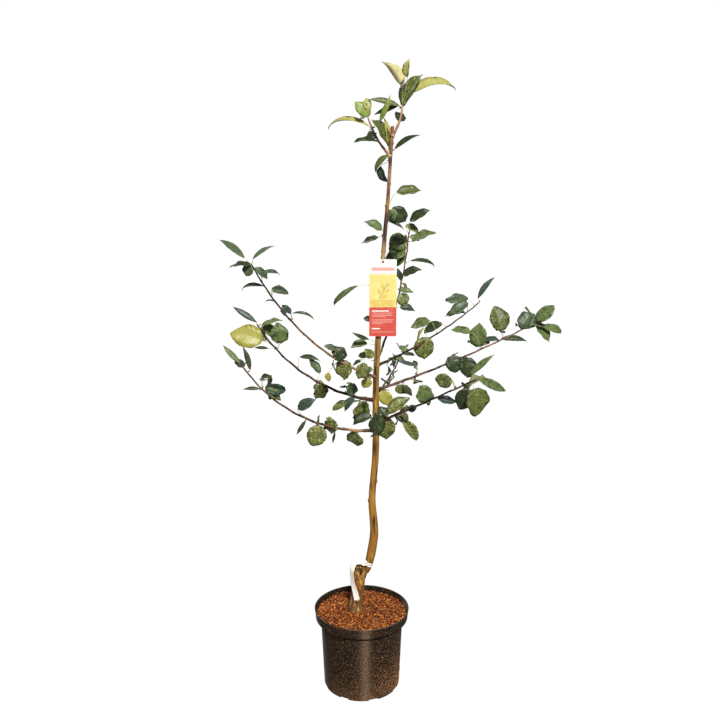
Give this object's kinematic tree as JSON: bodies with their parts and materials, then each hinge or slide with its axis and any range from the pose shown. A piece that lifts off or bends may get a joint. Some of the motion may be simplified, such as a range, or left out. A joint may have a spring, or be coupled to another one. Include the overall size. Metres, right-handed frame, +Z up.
{
  "type": "potted pear tree",
  "caption": "Young grafted pear tree in a round nursery pot, with a bent graft, tiered boughs of leathery leaves, a hang tag and a loop label.",
  "frame": {"origin": "centre of the pot's flat underside, on the surface it stands on", "axes": "+Z up the tree, +X to the viewer's right, -Y towards the viewer and the hang tag's printed face"},
  "size_m": [0.9948, 0.7432, 1.7911],
  "materials": {
    "pot_plastic": "satin",
    "compost": "matte",
    "bark": "matte",
    "twig_bark": "satin",
    "foliage": "satin",
    "tag_card": "satin",
    "thread": "matte",
    "label_plastic": "satin"
  },
  "bodies": {
    "root": {"bough_back": "twig_bark", "bough_front": "twig_bark", "bough_high_left": "twig_bark", "bough_high_right": "twig_bark", "bough_low_left": "twig_bark", "bough_low_right": "twig_bark", "bough_mid_left": "twig_bark", "bough_mid_right": "twig_bark", "bough_upright": "twig_bark", "compost": "compost", "hang_tag": "tag_card", "leaves_back_1": "foliage", "leaves_back_2": "foliage", "leaves_front_1": "foliage", "leaves_high_left_1": "foliage", "leaves_high_left_2": "foliage", "leaves_high_left_3": "foliage", "leaves_high_left_4": "foliage", "leaves_high_right_1": "foliage", "leaves_high_right_2": "foliage", "leaves_high_right_3": "foliage", "leaves_low_left_1": "foliage", "leaves_low_left_2": "foliage", "leaves_low_left_3": "foliage", "leaves_low_left_4": "foliage", "leaves_low_right_1": "foliage", "leaves_low_right_2": "foliage", "leaves_low_right_3": "foliage", "leaves_mid_left_1": "foliage", "leaves_mid_left_2": "foliage", "leaves_mid_left_3": "foliage", "leaves_mid_left_4": "foliage", "leaves_mid_left_5": "foliage", "leaves_mid_right_1": "foliage", "leaves_mid_right_2": "foliage", "leaves_mid_right_3": "foliage", "leaves_mid_right_4": "foliage", "leaves_mid_right_5": "foliage", "leaves_top_left_1": "foliage", "leaves_top_left_2": "foliage", "leaves_top_left_3": "foliage", "leaves_top_right_1": "foliage", "leaves_top_right_2": "foliage", "leaves_top_right_3": "foliage", "leaves_trunk_1": "foliage", "leaves_trunk_2": "foliage", "leaves_trunk_3": "foliage", "leaves_trunk_4": "foliage", "leaves_trunk_5": "foliage", "leaves_trunk_6": "foliage", "leaves_trunk_7": "foliage", "leaves_upright_1": "foliage", "leaves_upright_2": "foliage", "leaves_upright_3": "foliage", "loop_label": "label_plastic", "pot": "pot_plastic", "shoot_left": "twig_bark", "shoot_right": "twig_bark", "tag_thread": "thread", "trunk": "bark"}
  },
  "joints": []
}
